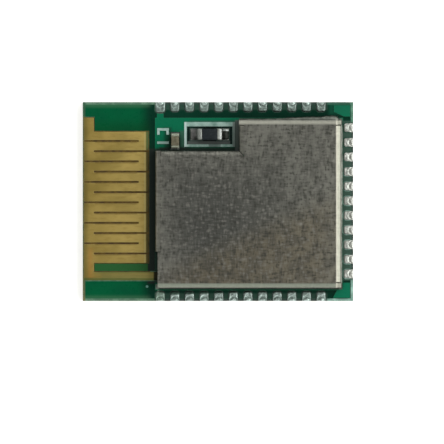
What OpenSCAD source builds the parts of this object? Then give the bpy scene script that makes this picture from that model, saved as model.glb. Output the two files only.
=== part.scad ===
// Short-range radio module: a thin board with a bare meander antenna at one end,
// half-hole pads along the other three sides and a folded shield can over the radio parts.
// X runs from the antenna end to the far end, Y across the board, Z up out of the can.
// The origin is the middle of the board's underside.

/* [Board] */
// Length from the antenna end to the far end
board_l = 18.5; // [17.5:0.1:22]
// Width across the board
board_w = 13.6; // [12.8:0.1:17]
// Thickness of the bare laminate
board_t = 0.8; // [0.6:0.1:1.6]
// Thickness of the plated copper
copper_t = 0.04; // [0.03:0.005:0.07]
// Thickness of the solder mask
mask_t = 0.03; // [0.02:0.005:0.05]
// Strip of bare laminate left along the board's edges
mask_setback = 0.17; // [0.1:0.01:0.3]
// Gap between bare metal and the mask around it
mask_gap = 0.06; // [0.04:0.01:0.08]

/* [Edge pads] */
// Spacing of the pads
pad_pitch = 1.0; // [0.9:0.05:1.27]
// Width of a pad
pad_w = 0.6; // [0.5:0.02:0.7]
// Length of a pad from the board's edge
pad_l = 0.66; // [0.5:0.02:0.75]
// Corner radius at a pad's inner end
pad_round = 0.2; // [0.1:0.02:0.24]
// Width of the first pad of the north row
first_pad_w = 0.66; // [0.6:0.02:0.8]
// Length of the first pad of the north row
first_pad_l = 0.72; // [0.6:0.02:0.85]
// Diameter of the half-holes in the laminate
hole_d = 0.4; // [0.3:0.02:0.46]
// Thickness of the plating in the half-holes
plating_t = 0.05; // [0.03:0.01:0.08]
// Antenna end to the first pad of the long rows
row_first = 5.3; // [5.2:0.05:6]
// Least distance from the last pad of a long row to the far end
row_last = 2.15; // [1.9:0.05:3]
// North edge to the first pad of the end column
column_first = 1.75; // [1.5:0.05:2.5]
// Least distance from the last pad of the end column to the south edge
column_last = 1.8; // [1.5:0.05:2.5]

/* [Antenna] */
// Antenna end of the board to the meander
antenna_inset = 0.09; // [0.05:0.01:0.2]
// Length of the fingers
finger_l = 4.4; // [3.6:0.05:4.5]
// Spacing of the fingers
finger_pitch = 0.7; // [0.6:0.02:0.9]
// Width of the slots between the fingers
slot_w = 0.13; // [0.1:0.01:0.2]
// Width of the turns that join the fingers
turn_w = 0.66; // [0.4:0.02:0.8]
// North edge of the board to the first finger
antenna_north = 2.02; // [1.8:0.02:2.4]
// Least distance from the last finger to the south edge
antenna_south = 2.56; // [2.3:0.02:3.2]
// Length of the stub at the meander's open end
stub_l = 0.96; // [0.6:0.02:1.2]
// Width of the feed strip
feed_w = 0.58; // [0.4:0.02:0.7]
// Middle of the feed strip to the south edge
feed_south = 1.7; // [1.65:0.02:1.8]

/* [Shield can] */
// Gap between the antenna's fingers and the can
can_west_gap = 0.48; // [0.4:0.01:0.7]
// Gap between the end column's pads and the can
can_east_gap = 0.18; // [0.17:0.01:0.5]
// Gap between the north row's pads and the can
can_north_gap = 0.56; // [0.3:0.01:0.7]
// Gap between the south row's pads and the can
can_south_gap = 0.23; // [0.17:0.01:0.5]
// Height of the can above the copper
can_h = 1.38; // [1.3:0.02:2]
// Thickness of the sheet
sheet_t = 0.2; // [0.15:0.01:0.25]
// Outer radius of the folds
fold_r = 0.36; // [0.3:0.01:0.5]
// Gap where two folded sides meet
fold_gap = 0.05; // [0.03:0.01:0.08]
// Length of the step cut out of the can's north-west corner
step_l = 5.71; // [5.5:0.01:5.9]
// Depth of that step
step_w = 2.12; // [2.1:0.01:2.3]
// Length of the open stretch of the west side, where the feed strip enters
feed_opening = 2.49; // [2.2:0.01:2.8]
// Setback of the lid's plain edge along that opening
lid_setback = 0.16; // [0.1:0.01:0.2]
// Size of the solder seams at the can's foot
seam = 0.08; // [0.05:0.01:0.1]

/* [Ground copper] */
// Gap between the ground copper and other bare copper
pour_gap = 0.15; // [0.1:0.01:0.2]
// Bare copper left around the solder seams
seam_rim = 0.02; // [0.01:0.005:0.03]
// Copper that reaches under the mask around the can
pour_rim = 0.02; // [0.01:0.005:0.03]
// Width of the necks from the ground copper to the first pads
neck_w = 0.4; // [0.3:0.02:0.44]
// Setback of the corner fields from the board's edges
corner_edge = 0.25; // [0.2:0.01:0.35]
// Reach of the north-east field along X at the board's edge
ne_long = 1.3; // [1:0.05:1.5]
// Reach of the north-east field along X at its inner end
ne_short = 0.6; // [0.4:0.05:0.65]
// Where its slanting side starts, from the board's edge
ne_low = 0.64; // [0.4:0.02:0.7]
// Reach of the north-east field along Y
ne_high = 0.95; // [0.8:0.05:1.1]
// Reach of the south-east field along X at the board's edge
se_long = 1.36; // [1.2:0.02:1.5]
// Reach of the south-east field along X at the end of its slanting side
se_short = 1.02; // [0.9:0.02:1.1]
// Reach of that slanting side along Y
se_high = 0.82; // [0.7:0.02:0.9]
// Reach along X of the tail beside the can
tail_w = 0.8; // [0.76:0.01:0.84]
// Reach along Y of that tail
tail_high = 1.22; // [1:0.02:1.3]

/* [Parts in the step] */
// Length of the filter chip
filter_l = 1.7; // [1.5:0.02:1.8]
// Width of the filter chip
filter_w = 0.78; // [0.7:0.02:0.85]
// Height of the filter chip
filter_h = 0.5; // [0.4:0.02:0.8]
// Length of each metal end of the filter chip
filter_end = 0.35; // [0.25:0.01:0.4]
// Length of the filter's lands beyond the chip
filter_toe = 0.46; // [0.3:0.02:0.48]
// Middle of the filter to the step's end wall
filter_x = 2.0; // [1.95:0.01:2.1]
// Middle of the filter to the step's side wall
filter_y = 1.13; // [1.1:0.01:1.2]
// Length of the capacitor
capacitor_l = 1.02; // [0.9:0.02:1.1]
// Width of the capacitor
capacitor_w = 0.56; // [0.45:0.01:0.6]
// Height of the capacitor
capacitor_h = 0.5; // [0.4:0.02:0.7]
// Length of each metal end of the capacitor
capacitor_end = 0.22; // [0.15:0.01:0.28]
// Length of the capacitor's lands beyond the part
capacitor_toe = 0.05; // [0.03:0.01:0.06]
// Middle of the capacitor to the can's west face
capacitor_x = 1.35; // [1.3:0.01:1.4]
// Middle of the capacitor to the step's side wall
capacitor_y = 0.68; // [0.67:0.01:0.74]

/* [Printed marks] */
// Thickness of the print
print_t = 0.02; // [0.01:0.005:0.03]
// Line width of the print
print_line = 0.17; // [0.12:0.01:0.2]
// Line width of the north side of the frame round the filter
print_bold = 0.3; // [0.2:0.01:0.34]
// Length of the frame round the filter
frame_l = 3.46; // [3.4:0.02:3.5]
// Width of the frame round the filter
frame_w = 1.7; // [1.64:0.02:1.76]
// Length of the marks beside the capacitor
mark_l = 0.8; // [0.6:0.02:0.84]
// Height of the bracket mark
mark_w = 0.45; // [0.4:0.01:0.5]
// Can's west face to the marks
mark_inset = 0.12; // [0.1:0.01:0.16]
// Bracket mark's foot above the middle of the capacitor
bracket_rise = 0.43; // [0.36:0.01:0.5]
// Bar mark's foot below the middle of the capacitor
bar_drop = 0.2; // [0.1:0.01:0.3]
// Diameter of the dot near the south row
dot_d = 0.18; // [0.14:0.01:0.24]
// Middle of the dot to the line of the antenna's finger ends
dot_x = 0.09; // [0.05:0.01:0.3]
// Middle of the dot above the can's south face
dot_y = 0.1; // [0.05:0.01:0.15]

/* [Parts under the can] */
// Side of the radio chip
radio_l = 5; // [4:0.1:5.4]
// Height of the radio chip
radio_h = 0.85; // [0.6:0.01:0.9]
// Shift of the radio chip from the can's middle towards the far end
radio_x = 1.5; // [1.2:0.1:1.7]
// Shift of the radio chip from the can's middle towards the south edge
radio_y = 0.1; // [0:0.05:0.3]
// Height of its leads
lead_h = 0.2; // [0.1:0.01:0.25]
// Gap between the package and the copper under it
standoff = 0.02; // [0.01:0.005:0.05]
// Leads on each side of the radio chip
radio_leads_n = 10; // [6:1:11]
// Spacing of the radio chip's leads
lead_pitch = 0.4; // [0.36:0.01:0.42]
// Width of a lead
lead_w = 0.2; // [0.16:0.01:0.24]
// Length of a lead
lead_l = 0.4; // [0.3:0.01:0.5]
// Side of the heat pad under the radio chip
heat_pad = 3.4; // [2.4:0.1:3.6]
// Length of the small chip parts
small_l = 1.0; // [0.8:0.02:1.1]
// Width of the small chip parts
small_w = 0.5; // [0.4:0.01:0.55]
// Height of the small chip parts
small_h = 0.5; // [0.3:0.01:0.6]
// Length of their metal ends
small_end = 0.22; // [0.15:0.01:0.26]
// Length of the lands beyond the small chip parts
small_toe = 0.15; // [0.1:0.01:0.18]
// Decoupling capacitors beside the radio chip
column_parts = 4; // [2:1:4]
// Decoupling capacitors north of the radio chip
line_parts = 3; // [1:1:3]
// Spacing of the decoupling capacitors
small_pitch = 1.6; // [1.5:0.05:1.7]
// Can's west face to the middle of the first matching part
match_first = 1.6; // [1.4:0.05:2]
// Spacing of the matching parts
match_pitch = 1.8; // [1.6:0.05:2]
// Width of the strip from the matching parts to the radio chip
trace_w = 0.3; // [0.2:0.02:0.4]
// Gap between neighbouring parts west of the radio chip
part_gap = 0.6; // [0.4:0.02:0.7]
// Gap between the can and the parts beside it
wall_gap = 0.35; // [0.25:0.01:0.45]
// Length of the power inductor
inductor_l = 1.6; // [1.4:0.05:1.7]
// Width of the power inductor
inductor_w = 0.8; // [0.7:0.02:0.9]
// Height of the power inductor
inductor_h = 0.8; // [0.5:0.02:0.9]
// Length of the main crystal
crystal_l = 2.0; // [1.6:0.05:2.2]
// Width of the main crystal
crystal_w = 1.6; // [1.2:0.05:1.7]
// Length of the clock crystal
clock_l = 3.2; // [2:0.05:3.4]
// Width of the clock crystal
clock_w = 1.5; // [1:0.05:1.6]
// Height of a crystal's ceramic base
base_h = 0.42; // [0.3:0.01:0.5]
// Height of a crystal's metal lid
lid_h = 0.25; // [0.15:0.01:0.3]
// Rim of the base left around the lid
lid_rim = 0.1; // [0.05:0.01:0.15]
// Side of the main crystal's lands and length of the clock crystal's
crystal_land = 0.5; // [0.4:0.02:0.55]

/* [Hidden] */
$fn = 48;

// Edges of the board
west = -board_l / 2;
east = board_l / 2;
south = -board_w / 2;
north = board_w / 2;

// Heights of the layers
laminate_z = copper_t;
board_z = copper_t + board_t;
copper_z = board_z + copper_t;
mask_z = board_z + mask_t;
print_z = copper_z + mask_t;

// Edge pads
hole_r = hole_d / 2;
bore_r = hole_r - plating_t;
// Allowance for rounding in the counts
tiny = 0.001;
row_n = floor((board_l - row_first - row_last) / pad_pitch + tiny) + 1;
column_n = floor((board_w - column_first - column_last) / pad_pitch + tiny) + 1;
function row_x(i) = west + row_first + i * pad_pitch;
function column_y(i) = north - column_first - i * pad_pitch;

// Antenna, counted from its south end
finger_w = finger_pitch - slot_w;
finger_n = floor((board_w - antenna_north - antenna_south + slot_w) / finger_pitch + tiny);
antenna_w = west + antenna_inset;
antenna_e = antenna_w + finger_l;
antenna_n = north - antenna_north;
antenna_s = antenna_n - finger_n * finger_pitch + slot_w;
feed_y = south + feed_south;

// Faces of the can
can_w = antenna_e + can_west_gap;
can_e = east - pad_l - can_east_gap;
can_n = north - pad_l - can_north_gap;
can_s = south + pad_l + can_south_gap;
can_top = copper_z + can_h;
step_x = can_w + step_l;
step_y = can_n - step_w;
opening_y = can_s + feed_opening;
fold_z = can_top - fold_r;
meet_gap = sheet_t + fold_gap;
inner_w = can_w + sheet_t;
inner_e = can_e - sheet_t;
inner_n = can_n - sheet_t;

// Opening in the mask and reach of the copper outside the can's foot
seam_window = seam + seam_rim;
pour_out = seam_window + pour_rim;

// Places of the parts in the step
filter_at = [step_x - filter_x, step_y + filter_y];
capacitor_at = [can_w + capacitor_x, step_y + capacitor_y];
mark_x = can_w + mark_inset;
bracket_y = capacitor_at[1] + bracket_rise;
bar_y = capacitor_at[1] - bar_drop;
dot_at = [antenna_e - dot_x, can_s + dot_y];

// Places of the parts under the can; a third number is a turn
radio_at = [(can_w + can_e) / 2 + radio_x, (can_n + can_s) / 2 - radio_y];
match_at = [for (i = [0 : 1]) [can_w + match_first + i * match_pitch, feed_y]];
match_reach = small_l / 2 + small_toe;
feed_end = match_at[0][0] - match_reach;
column_x = inner_e - wall_gap - small_w / 2;
column_y0 = radio_at[1] - (column_parts - 1) * small_pitch / 2;
line_x0 = step_x + sheet_t + wall_gap + small_l / 2;
line_y = inner_n - wall_gap - small_w / 2;
decoupler_at = concat(
    [for (i = [0 : column_parts - 1]) [column_x, column_y0 + i * small_pitch, 90]],
    [for (i = [0 : line_parts - 1]) [line_x0 + i * small_pitch, line_y, 0]]
);
crystal_at = [inner_w + part_gap + crystal_l / 2, step_y - sheet_t - part_gap - crystal_w / 2];
clock_at = [inner_w + part_gap + clock_l / 2, crystal_at[1] - (crystal_w + clock_w) / 2 - part_gap];
inductor_at = [clock_at[0], clock_at[1] - (clock_w + inductor_w) / 2 - part_gap];

// Rectangle between two opposite corners
module area(x0, y0, x1, y1) {
    translate([x0, y0]) square([x1 - x0, y1 - y0]);
}

// Rectangle about its middle
module patch(at, l, w, grow = 0) {
    translate(at) square([l + 2 * grow, w + 2 * grow], center = true);
}

// Flat outline raised from height z to a thickness t
module layer(z, t) {
    translate([0, 0, z]) linear_extrude(t) children();
}

// Outline of one pad, its edge on x = 0 and its round end inside the board
module pad_outline(w, l, grow = 0) {
    side = w / 2 + grow;
    tip = l + grow;
    corner = pad_round + grow;
    area(-grow, -side, tip - corner, side);
    area(-grow, corner - side, tip, side - corner);
    for (s = [-1, 1])
        translate([tip - corner, s * (side - corner)]) circle(corner);
}

// Children at every pad of the north row but the first
module on_north_row() {
    for (i = [1 : row_n - 1])
        translate([row_x(i), north]) rotate(-90) children();
}

// Children at the larger first pad of the north row
module on_first_pad() {
    translate([row_x(0), north]) rotate(-90) children();
}

module on_south_row() {
    for (i = [0 : row_n - 1])
        translate([row_x(i), south]) rotate(90) children();
}

module on_east_column() {
    for (i = [0 : column_n - 1])
        translate([east, column_y(i)]) rotate(180) children();
}

// Outlines of all edge pads, grown for the openings in the masks
module pad_windows() {
    on_first_pad() pad_outline(first_pad_w, first_pad_l, mask_gap);
    on_north_row() pad_outline(pad_w, pad_l, mask_gap);
    on_south_row() pad_outline(pad_w, pad_l, mask_gap);
    on_east_column() pad_outline(pad_w, pad_l, mask_gap);
}

// Land on both faces of the board and the plated half-hole between them
module edge_pad(w, l) {
    for (z = [0, board_z])
        layer(z, copper_t)
            difference() {
                pad_outline(w, l);
                circle(bore_r);
            }
    layer(0, copper_z)
        intersection() {
            difference() {
                circle(hole_r);
                circle(bore_r);
            }
            area(0, -hole_r, hole_r, hole_r);
        }
}

module north_pads() {
    color("silver") {
        on_first_pad() edge_pad(first_pad_w, first_pad_l);
        on_north_row() edge_pad(pad_w, pad_l);
    }
}

module east_pads() {
    color("silver") on_east_column() edge_pad(pad_w, pad_l);
}

module south_pads() {
    color("silver") on_south_row() edge_pad(pad_w, pad_l);
}

module laminate() {
    color("darkkhaki")
        layer(laminate_z, board_t)
            difference() {
                area(west, south, east, north);
                on_first_pad() circle(hole_r);
                on_north_row() circle(hole_r);
                on_south_row() circle(hole_r);
                on_east_column() circle(hole_r);
            }
}

// Meander with its stub, down to the feed strip
module antenna_outline() {
    difference() {
        area(antenna_w, antenna_s, antenna_e, antenna_n);
        for (i = [0 : finger_n - 2]) {
            slot_y = antenna_s + finger_w + i * finger_pitch;
            shift = i % 2 == 0 ? turn_w : -turn_w;
            area(antenna_w + shift, slot_y, antenna_e + shift, slot_y + slot_w);
        }
    }
    area(antenna_w, antenna_n, antenna_w + turn_w, antenna_n + stub_l);
    area(antenna_w, feed_y - feed_w / 2, antenna_w + turn_w, antenna_s);
    area(antenna_w, feed_y - feed_w / 2, feed_end, feed_y + feed_w / 2);
}

// Opening in the mask over the antenna: one field over the meander, strips over stub and feed
module antenna_window() {
    turn_e = antenna_w + turn_w + mask_gap;
    feed_s = feed_y - feed_w / 2 - mask_gap;
    feed_n = feed_y + feed_w / 2 + mask_gap;
    area(west, antenna_s - mask_gap, antenna_e + mask_gap, antenna_n + mask_gap);
    area(west, antenna_n, turn_e, antenna_n + stub_l + mask_gap);
    area(west, feed_s, turn_e, antenna_s);
    area(west, feed_s, feed_end, feed_n);
}

module antenna() {
    color("goldenrod") layer(board_z, copper_t) antenna_outline();
}

// Foot of the can, grown inwards and on the seamed sides outwards
module can_foot(inwards, outwards) {
    depth = sheet_t + inwards;
    area(can_e - depth, can_s - outwards, can_e + outwards, can_n + outwards);
    area(step_x, can_n - depth, can_e + outwards, can_n + outwards);
    area(can_w, can_s - outwards, can_e + outwards, can_s + depth);
    area(step_x, step_y - depth, step_x + depth, can_n);
    area(can_w, step_y - depth, step_x + depth, step_y);
    area(can_w, opening_y, can_w + depth, step_y);
}

// Two lands under a chip part that lies along X
module land_pair(at, l, w, end, toe, turn = 0, grow = 0) {
    reach = end + toe;
    for (s = [-1, 1])
        translate(at) rotate(turn)
            patch([s * (l / 2 + toe - reach / 2), 0], reach, w, grow);
}

// Lands under the four sides of the radio chip and its heat pad
module radio_lands(grow = 0) {
    span = (radio_leads_n - 1) * lead_pitch;
    patch(radio_at, heat_pad, heat_pad, grow);
    for (turn = [0, 90, 180, 270], i = [0 : radio_leads_n - 1])
        translate(radio_at) rotate(turn)
            patch([radio_l / 2 - lead_l / 2, i * lead_pitch - span / 2], lead_l, lead_w, grow);
}

module crystal_lands(grow = 0) {
    for (x = [-1, 1], y = [-1, 1])
        patch(crystal_at + [x * (crystal_l - crystal_land) / 2, y * (crystal_w - crystal_land) / 2],
            crystal_land, crystal_land, grow);
}

module all_lands(grow = 0) {
    land_pair(filter_at, filter_l, filter_w, filter_end, filter_toe, 0, grow);
    land_pair(capacitor_at, capacitor_l, capacitor_w, capacitor_end, capacitor_toe, 90, grow);
    for (p = match_at)
        land_pair(p, small_l, small_w, small_end, small_toe, 0, grow);
    for (p = decoupler_at)
        land_pair([p[0], p[1]], small_l, small_w, small_end, small_toe, p[2], grow);
    land_pair(inductor_at, inductor_l, inductor_w, small_end, small_toe, 0, grow);
    land_pair(clock_at, clock_l, clock_w - crystal_land, crystal_land, 0, 0, grow);
    crystal_lands(grow);
    radio_lands(grow);
}

module component_lands() {
    color("gainsboro") layer(board_z, copper_t) all_lands();
}

// Fields under the parts that the ground pour leaves free
module part_fields(grow) {
    filter_field_y = filter_at[1] + (print_line - print_bold) / 2;
    patch([filter_at[0], filter_field_y], frame_l - 2 * print_line, frame_w - print_line - print_bold,
        grow - pour_gap);
    patch(capacitor_at, capacitor_w, capacitor_l + 2 * capacitor_toe, mask_gap);
    for (p = match_at)
        patch(p, 2 * match_reach, small_w, grow);
    for (p = decoupler_at)
        translate([p[0], p[1]]) rotate(p[2]) patch([0, 0], 2 * match_reach, small_w, grow);
    patch(inductor_at, inductor_l + 2 * small_toe, inductor_w, grow);
    patch(clock_at, clock_l, clock_w, grow);
    patch(crystal_at, crystal_l, crystal_w, grow);
    patch(radio_at, radio_l, radio_l, grow);
}

// Strip from the matching parts to the radio chip
module radio_trace(grow = 0) {
    half = trace_w / 2 + grow;
    area(match_at[0][0] + match_reach, feed_y - half, match_at[1][0] - match_reach, feed_y + half);
    area(match_at[1][0] + match_reach, feed_y - half, radio_at[0] + half, feed_y + half);
    area(radio_at[0] - half, feed_y - half, radio_at[0] + half, radio_at[1] - radio_l / 2);
}

// Copper field in the north-east corner of the board
module north_east_field(grow) {
    edge = corner_edge - grow;
    translate([east, north]) rotate(180)
        polygon([
            [edge, edge],
            [ne_long + grow, edge],
            [ne_long + grow, ne_low + grow],
            [ne_short + grow, ne_high + grow],
            [edge, ne_high + grow]
        ]);
}

// Copper field in the south-east corner, with a tail beside the can
module south_east_field(grow) {
    edge = corner_edge - grow;
    translate([east, south]) scale([-1, 1])
        polygon([
            [edge, edge],
            [se_long + grow, edge],
            [se_short + grow, se_high + grow],
            [tail_w + grow, se_high + grow],
            [tail_w + grow, tail_high + grow],
            [edge, tail_high + grow]
        ]);
}

// Outlines of the first pad of each long row
module first_pads() {
    on_first_pad() pad_outline(first_pad_w, first_pad_l);
    translate([row_x(0), south]) rotate(90) pad_outline(pad_w, pad_l);
}

// Necks that join the ground copper to those two pads
module pad_necks(grow) {
    half = neck_w / 2 + grow;
    area(row_x(0) - half, can_n, row_x(0) + half, north - first_pad_l + pad_round);
    area(row_x(0) - half, south + pad_l - pad_round, row_x(0) + half, can_s);
}

// Copper under the mask, grown by the mask's thickness for the raised mask over it
module masked_copper(grow = 0) {
    feed_half = feed_w / 2 + pour_gap - grow;
    difference() {
        union() {
            area(can_w - grow, can_s - pour_out - grow, can_e + pour_out + grow, can_n + pour_out + grow);
            pad_necks(grow);
        }
        first_pads();
        part_fields(pour_gap - grow);
        radio_trace(pour_gap - grow);
        area(west, feed_y - feed_half, feed_end, feed_y + feed_half);
    }
    radio_trace(grow);
    north_east_field(grow);
    south_east_field(grow);
}

module top_copper() {
    color("peru") layer(board_z, copper_t) masked_copper();
}

module mask_outline() {
    area(west + mask_setback, south + mask_setback, east - mask_setback, north - mask_setback);
}

module top_mask() {
    color("darkgreen")
        difference() {
            union() {
                layer(board_z, mask_t) mask_outline();
                layer(board_z, copper_t + mask_t)
                    intersection() {
                        mask_outline();
                        masked_copper(mask_t);
                    }
            }
            top_copper();
            layer(board_z, copper_t + mask_t) {
                pad_windows();
                antenna_window();
                all_lands(mask_gap);
                can_foot(mask_gap, seam_window);
            }
        }
}

module bottom_mask() {
    color("darkgreen")
        layer(0, copper_t)
            difference() {
                mask_outline();
                pad_windows();
            }
}

// Section across one folded side of the can, its outer face on x = 0
module fold_section() {
    area(-sheet_t, copper_z, 0, fold_z);
    translate([-fold_r, fold_z])
        intersection() {
            difference() {
                circle(fold_r);
                circle(fold_r - sheet_t);
            }
            square(fold_r);
        }
}

// Folded side that starts at a point and runs to the left of its outward direction.
// Its round is cut short at an end that stands against another side.
module folded_side(at, turn, run, meets_start, meets_end) {
    short = fold_r - sheet_t;
    translate(at) rotate(turn)
        difference() {
            translate([0, run, 0]) rotate([90, 0, 0]) linear_extrude(run) fold_section();
            if (meets_start)
                translate([-fold_r, 0, fold_z]) cube([fold_r, short, fold_r]);
            if (meets_end)
                translate([-fold_r, run - short, fold_z]) cube([fold_r, short, fold_r]);
        }
}

// One half of the space beside the mitre in the step's inner corner
module mitre_half(side) {
    reach = board_l;
    translate([step_x, step_y, 0]) rotate(-45)
        translate([0, side * (reach + fold_gap) / 2, can_top / 2])
            cube([2 * reach, reach, can_top], center = true);
}

// The two sides of the step come out of the same square of the sheet,
// so each is cut back at 45 degrees below its fold
module step_sides() {
    wall = fold_z - copper_z;
    meet = can_w + meet_gap;
    start = can_n - meet_gap;
    difference() {
        intersection() {
            folded_side([step_x + fold_r, step_y], 90, step_x + fold_r - meet, false, true);
            mitre_half(-1);
        }
        translate([step_x, step_y, fold_z]) rotate([90, 0, 0])
            linear_extrude(3 * sheet_t, center = true)
                polygon([[0, 0], [fold_r, 0], [fold_r, -wall], [-wall, -wall]]);
    }
    difference() {
        intersection() {
            folded_side([step_x, start], 180, start - step_y + fold_r, true, false);
            mitre_half(1);
        }
        translate([step_x, step_y, fold_z]) rotate([90, 0, 90])
            linear_extrude(3 * sheet_t, center = true)
                polygon([[0, 0], [-fold_r, 0], [-fold_r, -wall], [wall, -wall]]);
    }
}

module lid_outline() {
    area(can_w + fold_r, can_s + fold_r, can_e - fold_r, step_y - fold_r);
    area(step_x + fold_r, can_s + fold_r, can_e - fold_r, can_n - fold_r);
    area(can_w + lid_setback, can_s + fold_r, can_e - fold_r, opening_y - fold_gap);
}

module shield_can() {
    south_start = can_w + lid_setback;
    color("darkgray") {
        layer(can_top - sheet_t, sheet_t) lid_outline();
        folded_side([can_e, can_s + meet_gap], 0, can_n - can_s - 2 * meet_gap, true, true);
        folded_side([can_e, can_n], 90, can_e - step_x, false, false);
        folded_side([can_w, step_y], 180, step_y - opening_y, false, false);
        folded_side([south_start, can_s], 270, can_e - south_start, false, false);
        step_sides();
    }
}

// Hollow solder fillet of a given size, in the corner at x = 0, along Y
module fillet(size, run) {
    translate([0, run, 0]) rotate([90, 0, 0])
        linear_extrude(run)
            difference() {
                square(size);
                translate([size, size]) circle(size);
            }
}

module can_solder() {
    color("silver")
        translate([0, 0, copper_z]) {
            translate([can_e, can_s, 0]) fillet(seam, can_n - can_s);
            translate([inner_e, can_n, 0]) rotate(90) fillet(seam, inner_e - step_x - fold_r);
            translate([can_w + fold_r, can_s, 0]) rotate(270) fillet(seam, inner_e - can_w - fold_r);
        }
}

// Ceramic part of a chip that lies along X on its lands
module chip_body(at, l, w, h, end, turn = 0) {
    translate([at[0], at[1], copper_z]) rotate(turn)
        translate([0, 0, h / 2]) cube([l - 2 * end, w, h], center = true);
}

// Metal ends of that chip
module chip_ends(at, l, w, h, end, turn = 0) {
    for (s = [-1, 1])
        translate([at[0], at[1], copper_z]) rotate(turn)
            translate([s * (l - end) / 2, 0, h / 2]) cube([end, w, h], center = true);
}

module filter_body() {
    color("#2d3034") chip_body(filter_at, filter_l, filter_w, filter_h, filter_end);
}

module filter_terminals() {
    color("lightgray") chip_ends(filter_at, filter_l, filter_w, filter_h, filter_end);
}

// Joints from the metal ends down to the toes of the lands
module filter_solder() {
    size = min(filter_toe, filter_h);
    color("silver")
        for (turn = [0, 180])
            translate([filter_at[0], filter_at[1], copper_z]) rotate(turn)
                translate([filter_l / 2, -filter_w / 2, 0]) fillet(size, filter_w);
}

module capacitor_body() {
    color("#7d6e55") chip_body(capacitor_at, capacitor_l, capacitor_w, capacitor_h, capacitor_end, 90);
}

module capacitor_terminals() {
    color("lightgray") chip_ends(capacitor_at, capacitor_l, capacitor_w, capacitor_h, capacitor_end, 90);
}

// Frame round the filter, two marks beside the capacitor and a dot near the south row
module legend() {
    color("#a5c3b4") {
        layer(print_z, print_t) {
            difference() {
                patch(filter_at, frame_l, frame_w);
                area(filter_at[0] - frame_l / 2 + print_line, filter_at[1] - frame_w / 2 + print_line,
                    filter_at[0] + frame_l / 2 - print_line, filter_at[1] + frame_w / 2 - print_bold);
            }
            difference() {
                area(mark_x, bracket_y, mark_x + mark_l, bracket_y + mark_w);
                area(mark_x + print_line, bracket_y - print_line,
                    mark_x + mark_l - print_line, bracket_y + mark_w - print_line);
            }
            area(mark_x, bar_y, mark_x + mark_l, bar_y + print_line);
        }
        layer(mask_z, print_t) translate(dot_at) circle(dot_d / 2);
    }
}

// Leads and heat pad, flush with the package and standing just below it
module radio_leads() {
    color("silver") layer(copper_z, lead_h) radio_lands();
}

module radio_chip() {
    color("#26282b")
        difference() {
            layer(copper_z + standoff, radio_h - standoff) patch(radio_at, radio_l, radio_l);
            radio_leads();
        }
}

module crystal_base() {
    color("#4a4238") layer(copper_z, base_h) patch(crystal_at, crystal_l, crystal_w);
}

module crystal_lid() {
    color("silver") layer(copper_z + base_h, lid_h) patch(crystal_at, crystal_l, crystal_w, -lid_rim);
}

module clock_base() {
    color("#4a4238") layer(copper_z, base_h) patch(clock_at, clock_l, clock_w);
}

module clock_lid() {
    color("silver") layer(copper_z + base_h, lid_h) patch(clock_at, clock_l, clock_w, -lid_rim);
}

module decoupler_bodies() {
    color("#8a7458")
        for (p = decoupler_at)
            chip_body([p[0], p[1]], small_l, small_w, small_h, small_end, p[2]);
}

module decoupler_terminals() {
    color("lightgray")
        for (p = decoupler_at)
            chip_ends([p[0], p[1]], small_l, small_w, small_h, small_end, p[2]);
}

module matching_bodies() {
    color("#3a4450")
        for (p = match_at)
            chip_body(p, small_l, small_w, small_h, small_end);
}

module matching_terminals() {
    color("lightgray")
        for (p = match_at)
            chip_ends(p, small_l, small_w, small_h, small_end);
}

module inductor_body() {
    color("#33363a") chip_body(inductor_at, inductor_l, inductor_w, inductor_h, small_end);
}

module inductor_terminals() {
    color("lightgray") chip_ends(inductor_at, inductor_l, inductor_w, inductor_h, small_end);
}

laminate();
top_copper();
top_mask();
bottom_mask();
antenna();
north_pads();
east_pads();
south_pads();
component_lands();
shield_can();
can_solder();
filter_body();
filter_terminals();
filter_solder();
capacitor_body();
capacitor_terminals();
legend();
radio_chip();
radio_leads();
crystal_base();
crystal_lid();
clock_base();
clock_lid();
decoupler_bodies();
decoupler_terminals();
matching_bodies();
matching_terminals();
inductor_body();
inductor_terminals();
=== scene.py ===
# %% [markdown]
# # Dressing a bluetooth module
# The object is a small radio board of 18.5 by 13.6 mm: green laminate, a gilt antenna at its west end,
# a folded metal can over the radio, tinned half-holes along three edges and two small chips in the can's
# stepped corner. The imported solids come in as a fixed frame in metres, so nothing has to be fitted by eye:
# each piece made here reads its place from the solids. Such small sizes are easier to read in millimetres,
# so the script works in those and turns to metres at the end. The box of the solids is kept too, because
# the dressed part must still fit in it.

# %% Load the frame
import math

import bmesh
import bpy
from mathutils import Matrix, Vector, noise


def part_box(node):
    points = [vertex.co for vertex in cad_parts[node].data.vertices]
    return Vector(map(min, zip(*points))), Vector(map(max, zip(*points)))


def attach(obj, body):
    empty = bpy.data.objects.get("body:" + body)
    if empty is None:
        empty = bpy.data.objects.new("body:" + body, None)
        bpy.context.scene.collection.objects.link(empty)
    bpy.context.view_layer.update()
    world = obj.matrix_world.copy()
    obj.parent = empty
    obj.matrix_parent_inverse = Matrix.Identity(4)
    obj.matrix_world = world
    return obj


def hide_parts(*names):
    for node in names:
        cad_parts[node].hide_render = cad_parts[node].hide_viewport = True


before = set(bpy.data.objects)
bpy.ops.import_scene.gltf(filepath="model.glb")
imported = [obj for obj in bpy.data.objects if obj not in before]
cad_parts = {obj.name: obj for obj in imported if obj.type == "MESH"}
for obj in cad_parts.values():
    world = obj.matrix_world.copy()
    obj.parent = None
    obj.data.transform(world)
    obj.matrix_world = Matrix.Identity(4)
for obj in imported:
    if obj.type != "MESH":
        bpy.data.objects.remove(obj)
scene = bpy.context.scene
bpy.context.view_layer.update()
MM = 0.001


def box(solid):
    """The lowest and the highest corner of a solid, in millimetres."""
    low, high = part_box(solid)
    return low / MM, high / MM


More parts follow.
